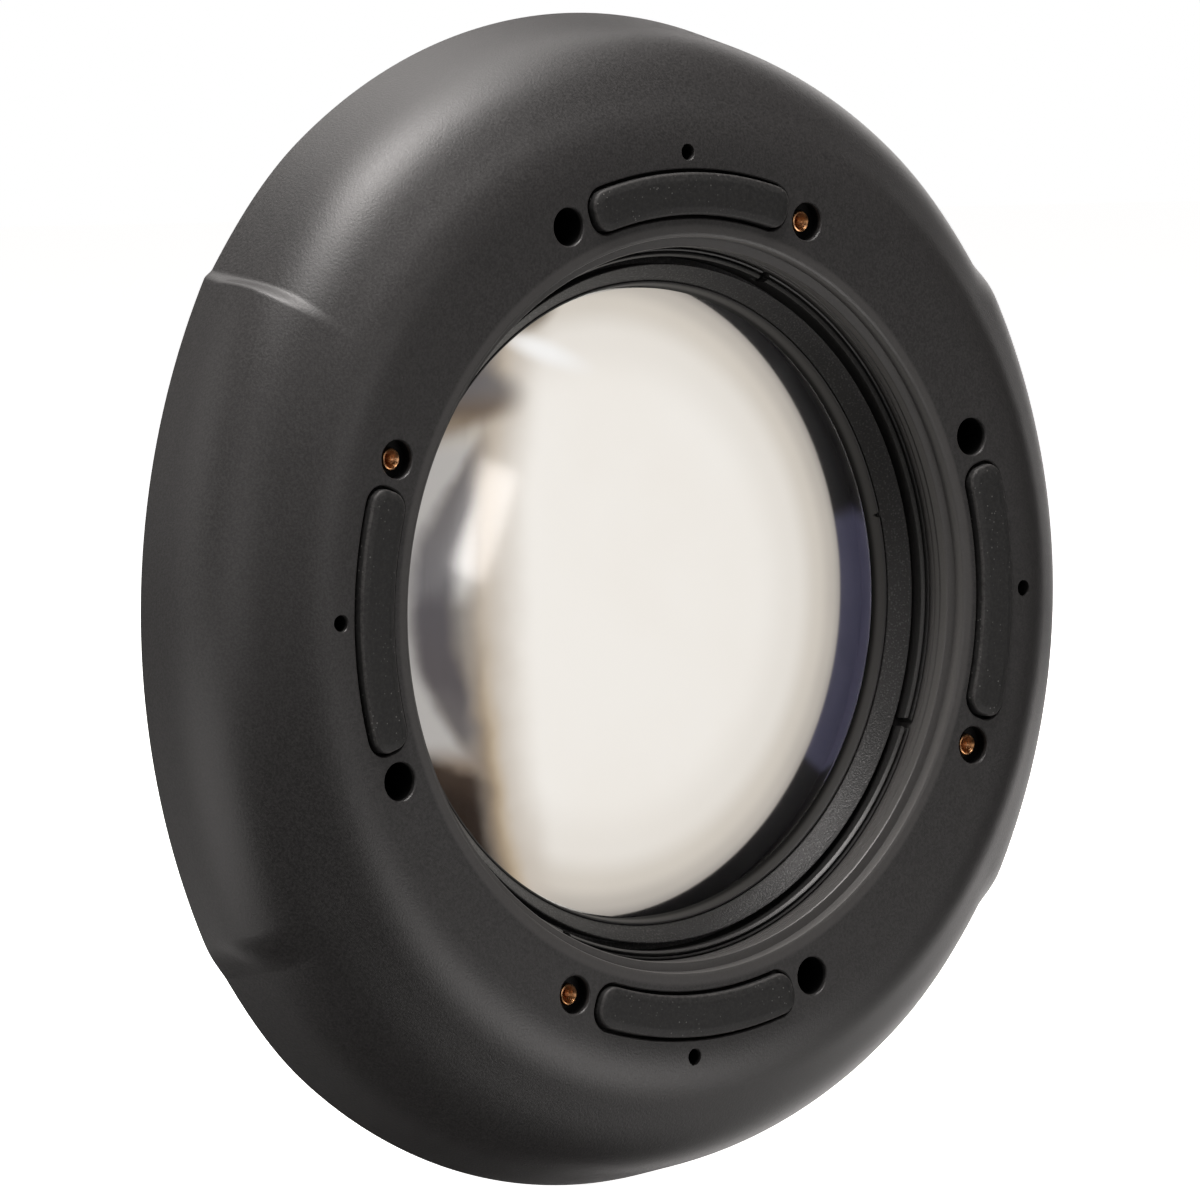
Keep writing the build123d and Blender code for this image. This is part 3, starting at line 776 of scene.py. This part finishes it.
# How many spans the outside's parts are divided into, and how finely a corner is worked out first
FACE_EDGE_SPANS, SHOULDER_SPANS, WALL_SPANS = 16, 22, 5
CURVE_SAMPLES = 400

# Sections stand closer together from this many degrees before the step to as many after it
STEP_MARGIN, STEP_SECTIONS = 4, 48


def ease(t):
    """Smooth rise from 0 to 1 as t goes from 0 to 1."""
    t = min(1.0, max(0.0, t))
    return t * t * (3 - 2 * t)


def corner_curve(corner, before, after, reach, count):
    """Points of a rounded corner whose curvature starts and ends at nothing."""
    turn = after.angle_signed(before)
    place = Vector((0, 0))
    path = [place]
    for n in range(CURVE_SAMPLES):
        heading = Matrix.Rotation(turn * ease((n + 0.5) / CURVE_SAMPLES), 2) @ before
        place = place + heading / CURVE_SAMPLES
        path.append(place)
    scale = reach * (before + after).length / place.length
    start = corner - before * reach
    return [start + scale * path[round(CURVE_SAMPLES * n / count)] for n in range(count + 1)]


def rim_profile(corner_r, corner_depth, end_r, reach):
    """Outside of the collar from its flat face to its rear edge, as (radius, depth) points."""
    edge, shoulder = Vector((FACE_EDGE_R, 0)), Vector((corner_r, corner_depth))
    end = Vector((end_r, COLLAR_DEPTH))
    outward = Vector((1, 0))
    slope, wall = (shoulder - edge).normalized(), (end - shoulder).normalized()
    points = corner_curve(edge, outward, slope, CORNER_REACH["face_edge"], FACE_EDGE_SPANS)
    points += corner_curve(shoulder, slope, wall, reach, SHOULDER_SPANS)
    last = points[-1]
    return points + [last.lerp(end, n / WALL_SPANS) for n in range(1, WALL_SPANS + 1)]


def side_radius(angle):
    """Radius of the flatter side's rear edge at an angle from the side's middle."""
    centre = SIDE_HALF_WIDTH - SIDE_ARC_R
    return centre * cos(angle) + sqrt(SIDE_ARC_R**2 - (centre * sin(angle)) ** 2)


def side_profile(angle):
    """Outside of the flatter side at an angle from its middle."""
    end_r = side_radius(angle)
    wall_r = end_r - SIDE_LEAN
    dome_slope = SHOULDER_DEPTH / (SHOULDER_R - FACE_EDGE_R)
    return rim_profile(wall_r, (wall_r - FACE_EDGE_R) * dome_slope, end_r, CORNER_REACH["side"])


def skin_point(angle, number, main, side, crisp):
    """Point of the collar's outside, between its round part and its flatter side."""
    off = abs(angle)
    round_point = main[number].copy()
    outwardness = max(0.0, (round_point.x - FACE_EDGE_R) / (RIM_R - FACE_EDGE_R))
    eased = ease((radians(EASE_ANGLE) - off) / radians(EASE_ANGLE - STEP_ANGLE))
    round_point.x -= EASE_IN * eased * outwardness**2
    boundary = radians(STEP_ANGLE + STEP_SWEEP * outwardness**2)
    ramp = (STEP_WIDTH if crisp else SOFT_STEP_WIDTH) / RIM_R
    share = ease((boundary + ramp / 2 - off) / ramp)
    return round_point.lerp(side[number], share)


def collar_angles():
    """Angles round a quarter of the collar, closer together at the step."""
    coarse = [radians(a) for a in range(0, 90)]
    low, high = radians(STEP_ANGLE - STEP_MARGIN), radians(STEP_ANGLE + STEP_SWEEP + STEP_MARGIN)
    fine = [low + (high - low) * n / STEP_SECTIONS for n in range(STEP_SECTIONS + 1)]
    gap = 0.005  # Radians between the coarse angles and the fine ones
    return sorted([a for a in coarse if not low - gap < a < high + gap] + fine)


FOAM_SPACE = (
    (74.4, 22.4), (74.4, 19.9), (71.5, 19.9), (71.5, 9.9), (65.2, 5.2),
    (62.5, 4.2), (62.5, 20.4), (58.2, 20.4), (58.2, 22.4),
)
GROOVED_BORE = (
    (47.4, 22.4), (47.4, 4.35), (47.6, 4.2), (47.4, 4.05),
    (47.4, 3.35), (47.6, 3.2), (47.4, 3.05), (47.4, 1.9),
)
BORE_MOUTH = (
    (47.5, 1.75), (48.65, 1.55), (48.75, 0.4), (48.85, 0.18), (49.05, 0.04),
    (49.35, 0.0), (51.2, 0.0), (53.0, 0.0), (55.0, 0.0),
)


def collar_ring():
    """Closed ring: smooth outside, stepped bore, and the foam's space open to the back."""
    main = rim_profile(SHOULDER_R, SHOULDER_DEPTH, RIM_R, CORNER_REACH["shoulder"])
    inside = [Vector(point) for point in FOAM_SPACE + GROOVED_BORE + BORE_MOUTH]
    quarter = collar_angles()
    half = quarter + [pi / 2] + [pi - a for a in reversed(quarter)][:-1]
    around = half + [a + pi for a in half]
    work = bmesh.new()
    rings = []
    for angle in around:
        folded = abs((angle + pi / 2) % pi - pi / 2)
        side = side_profile(min(folded, radians(STEP_ANGLE + STEP_MARGIN)))
        crisp = pi / 2 < angle < pi  # Only the upper left step is crisp
        section = [skin_point(folded, n, main, side, crisp) for n in range(len(main))] + inside
        rings.append([
            work.verts.new((p.x * MM * cos(angle), face_y + p.y * MM, p.x * MM * sin(angle))) for p in section
        ])
    for ring, following in zip(rings, rings[1:] + rings[:1]):
        for n in range(len(ring)):
            m = (n + 1) % len(ring)
            work.faces.new((ring[n], following[n], following[m], ring[m]))
    bmesh.ops.recalc_face_normals(work, faces=work.faces)
    return work


def add_hole(work, circle_r, angle, outline, steps=48):
    """Round cutter on the face at an angle, from a (radius, depth) outline with its mouth first."""
    x, z = circle_r * cos(angle), circle_r * sin(angle)
    cap(work, stack(work, [round_layer(x, z, (r, r), depth, steps) for r, depth in outline]))


PAD_MID_R, PAD_HALF_LENGTH, PAD_HALF_WIDTH, PAD_CORNER = 54.5, 17.12, 2.8, 2.3
PAD_COLUMNS = 60


def pad_layer(middle, inset, depth):
    """Outline of a curved pad in its own place: along its outer side, then back along its inner side."""
    half, width = PAD_HALF_LENGTH - inset, PAD_HALF_WIDTH - inset
    corner = max(0.2, PAD_CORNER - inset)
    outline = []
    for n in range(PAD_COLUMNS + 1):
        u = -half * cos(pi * n / PAD_COLUMNS)
        past = max(0.0, abs(u) - (half - corner))
        outline.append((u, width - corner + sqrt(max(0.0, corner**2 - past**2))))
    outline += [(u, -v) for u, v in reversed(outline)]
    points = []
    for u, v in outline:
        angle, r = middle + u / PAD_MID_R, PAD_MID_R + v
        points.append(Vector((r * cos(angle) * MM, face_y + depth * MM, r * sin(angle) * MM)))
    return points


def cap_pad(work, rings):
    """Quads across both ends of a pad's stack, column by column."""
    for ring in (rings[0], rings[-1]):
        last = len(ring) - 1
        for n in range(PAD_COLUMNS):
            work.faces.new((ring[n], ring[n + 1], ring[last - n - 1], ring[last - n]))


def cut(piece, cutters):
    """Takes the cutters' solids out of a piece and keeps the result as its mesh."""
    bmesh.ops.recalc_face_normals(cutters, faces=cutters.faces)
    mesh = bpy.data.meshes.new("cutters")
    cutters.to_mesh(mesh)
    cutters.free()
    tool = bpy.data.objects.new("cutters", mesh)
    scene.collection.objects.link(tool)
    boolean = piece.modifiers.new("holes", "BOOLEAN")
    boolean.operation, boolean.solver, boolean.object = "DIFFERENCE", "EXACT", tool
    result = bpy.data.meshes.new_from_object(piece.evaluated_get(bpy.context.evaluated_depsgraph_get()))
    piece.modifiers.clear()
    piece.data = result
    bpy.data.objects.remove(tool)


QUARTERS = [n * pi / 2 for n in range(4)]
HOLE_CIRCLE_R, PIN_CIRCLE_R = 54.6, 60.0
SCREW_ANGLE, INSERT_ANGLE = radians(22.5), radians(67.5)
COUNTERBORE_R, MOUTH, ABOVE = 2.55, 0.15, -0.5
COUNTERBORE = [(COUNTERBORE_R + MOUTH, ABOVE), (COUNTERBORE_R + MOUTH, 0), (COUNTERBORE_R, MOUTH)]
SCREW_HOLE = COUNTERBORE + [(COUNTERBORE_R, 14.0), (1.4, 14.0), (1.4, 24.0)]
INSERT_HOLE = COUNTERBORE + [(COUNTERBORE_R, 1.8), (1.47, 1.8), (1.47, 7.8)]
PIN_HOLE = [(1.2, ABOVE), (1.2, 0.05), (1.1, 0.15), (1.1, 3.0)]
PAD_GAP = -0.45
POCKET = [(PAD_GAP - MOUTH, ABOVE), (PAD_GAP - MOUTH, 0), (PAD_GAP, MOUTH), (PAD_GAP, 1.6)]

collar = shaped("collar_ring", collar_ring(), collar_paint, sharp=28)
cutters = bmesh.new()
for quarter in QUARTERS:
    add_hole(cutters, HOLE_CIRCLE_R, quarter + SCREW_ANGLE, SCREW_HOLE)
    add_hole(cutters, HOLE_CIRCLE_R, quarter + INSERT_ANGLE, INSERT_HOLE)
    add_hole(cutters, PIN_CIRCLE_R, quarter, PIN_HOLE, steps=32)
    cap_pad(cutters, stack(cutters, [pad_layer(quarter, inset, depth) for inset, depth in POCKET]))
cut(collar, cutters)
ride_on(collar, LENS_BODY, "collar", "collar_shell")


# ---- Rings in the bore ----
def notched(name, outline, paint, holes):
    """Turned ring with small round notches: (circle radius, angles, hole radius, from depth, to depth)."""
    ring = turned(name, outline, paint, steps=360)
    cutters = bmesh.new()
    circle_r, angles, radius, top, floor = holes
    for angle in angles:
        add_hole(cutters, circle_r, angle, [(radius, top), (radius, floor)], steps=20)
    cut(ring, cutters)
    return ring


lock_ring = notched(
    "lock_ring",
    [
        (46.15, 9.2), (46.15, 5.6), (46.3, 5.35), (46.45, 5.2), (46.6, 5.25), (46.66, 6.3),
        (46.86, 6.3), (46.92, 5.1), (47.08, 5.0), (47.22, 5.1), (47.3, 5.3), (47.3, 9.2),
    ],
    anodised_paint,
    (46.62, [quarter + INSERT_ANGLE for quarter in QUARTERS], 0.75, 4.5, 7.4),
)
ride_on(lock_ring, LENS_BODY, "anodised", "collar_lock_ring")

bezel = turned(
    "bezel_cone",
    [
        (42.97, 9.2), (42.97, 8.78), (43.04, 8.66), (43.16, 8.5), (44.9, 6.42), (45.04, 6.32),
        (45.16, 6.4), (45.2, 6.6), (45.24, 8.7), (46.08, 8.7), (46.08, 9.2),
    ],
    bezel_paint,
    steps=360,
)
ride_on(bezel, LENS_BODY, "anodised", "bezel_ring")

throat_ring = notched(
    "glass_clamp_ring",
    [
        (42.85, 12.55), (42.08, 12.55), (42.08, 11.0), (42.42, 9.5),
        (42.5, 9.0), (42.6, 8.86), (42.76, 8.84), (42.85, 8.95),
    ],
    throat_paint,
    (42.8, [radians(14), radians(194)], 0.4, 8.2, 9.7),
)
ride_on(throat_ring, LENS_BODY, "anodised", "glass_retaining_ring")


# ---- Knurled brass inserts, with grooves for the threads in their holes ----
INSERT_RIBS, INSERT_RIB_DEPTH, INSERT_STEPS = 18, 0.05, 90
INSERT_THREAD_START, INSERT_THREAD_PITCH, INSERT_THREAD_TURNS = 2.0, 0.4, 9


def insert_outline():
    """Outside, flared mouth and grooved hole of one insert, as (radius, depth, ribbed) points."""
    outline = [(1.42, 7.8, True), (1.42, 2.35, True), (1.2, 2.25, False), (1.2, 2.1, False)]
    outline += [(1.4, 2.0, True), (1.44, 1.45, True)]
    outline += [(1.36, 1.25, False), (1.22, 1.18, False), (1.08, 1.3, False), (0.86, 1.85, False)]
    for turn in range(INSERT_THREAD_TURNS):
        depth = INSERT_THREAD_START + INSERT_THREAD_PITCH * turn
        outline += [(0.70, depth, False), (0.86, depth + INSERT_THREAD_PITCH / 2, False)]
    return outline + [(0.8, 7.8, False)]


def add_insert(work, angle):
    """One insert in its hole on the face: a closed turned solid with small lengthwise ribs."""
    x, z = HOLE_CIRCLE_R * cos(angle), HOLE_CIRCLE_R * sin(angle)
    layers = []
    for radius, depth, ribbed in insert_outline():
        layer = []
        for n in range(INSERT_STEPS):
            around = tau * n / INSERT_STEPS
            rib = INSERT_RIB_DEPTH * cos(INSERT_RIBS * around) if ribbed else 0.0
            across, up = x + (radius + rib) * cos(around), z + (radius + rib) * sin(around)
            layer.append(Vector((across * MM, face_y + depth * MM, up * MM)))
        layers.append(layer)
    stack(work, layers, closed=True)


work = bmesh.new()
for quarter in QUARTERS:
    add_insert(work, quarter + INSERT_ANGLE)
bmesh.ops.recalc_face_normals(work, faces=work.faces)
ride_on(shaped("knurled_inserts", work, brass_paint, sharp=35), LENS_BODY, "brass", "brass_inserts")


# ---- Inner glass elements ----
def add_element(name, front, shoulder_depth, back, replaced):
    """Element between two bulging faces: each is (radius of curvature, radius, depth of its middle)."""
    _, radius, _ = front
    outline = [*lens_face(*front, True), (radius, shoulder_depth), *reversed(lens_face(*back, False))]
    ride_on(turned(name, outline, glass_paint), LENS_BODY, "glass", replaced)


add_element("middle_element", (95.0, 37.25, 27.45), 37.95, (80.0, 31.3, 44.35), "middle_glass")
add_element("rear_element", (400.0, 27.05, 54.1), 57.45, (80.0, 25.1, 61.5), "rear_glass")


# ---- Coupling ring: scalloped grip, and grooves for its thread ----
GRIP_R, GRIP_SCALLOPS = 41.5, 30
SCALLOP = [(1.9, 49.0), (1.9, 57.2), (1.2, 58.1)]
SCALLOP_OFFSET, SCALLOP_TURN = 0.95, 0.013
THREAD_R, THREAD_START, THREAD_END, THREAD_PITCH, THREAD_DEPTH = 33.5, 60.35, 64.85, 0.75, 0.42


def coupling_outline():
    """Section of the coupling ring, from the front of its bore to the back, as (radius, depth) points."""
    outline = [(29.95, 50.05), (40.7, 50.05), (41.2, 50.2), (GRIP_R, 50.6)]
    outline += [(GRIP_R, 56.9), (41.3, 57.3), (40.8, 57.6), (39.5, 58.1)]
    outline += [(39.4, 58.3), (38.6, 59.75), (38.4, 59.95), (33.1, 59.98), (33.05, THREAD_START)]
    for turn in range(round((THREAD_END - THREAD_START) / THREAD_PITCH)):
        depth = THREAD_START + THREAD_PITCH * turn
        outline += [
            (THREAD_R - THREAD_DEPTH, depth + 0.08), (THREAD_R - 0.05, depth + 0.32),
            (THREAD_R - 0.05, depth + 0.43), (THREAD_R - THREAD_DEPTH, depth + 0.67),
        ]
    return outline + [(33.0, 65.1), (32.7, 65.4), (32.1, 65.45), (32.0, 65.3), (32.0, 63.4), (29.95, 63.4)]


coupling = turned("threaded_coupling", coupling_outline(), anodised_paint, steps=360)
scallops = bmesh.new()
for n in range(GRIP_SCALLOPS):
    angle = tau * (n + SCALLOP_TURN) / GRIP_SCALLOPS
    add_hole(scallops, GRIP_R + SCALLOP_OFFSET, angle, SCALLOP, steps=40)
cut(coupling, scallops)
ride_on(coupling, COUPLING_BODY, "anodised", "coupling_ring")


# ---- Rubber pads with rounded edges ----
# How far in from the pad's outline each of its layers is, and at which depth
PAD_PROFILE = (
    (0, 1.59), (0, 0.6), (0, -0.3), (0.02, -0.55), (0.08, -0.7), (0.2, -0.8),
    (0.34, -0.85), (0.95, -1.03), (1.12, -1.07), (1.3, -1.08), (1.7, -1.08),
)
for middle, place in zip(QUARTERS, ("right", "top", "left", "bottom")):
    work = bmesh.new()
    cap_pad(work, stack(work, [pad_layer(middle, inset, depth) for inset, depth in PAD_PROFILE]))
    bmesh.ops.recalc_face_normals(work, faces=work.faces)
    ride_on(shaped(f"rubber_pad_{place}", work, pad_paint, sharp=40), LENS_BODY, "pads", f"front_pad_{place}")
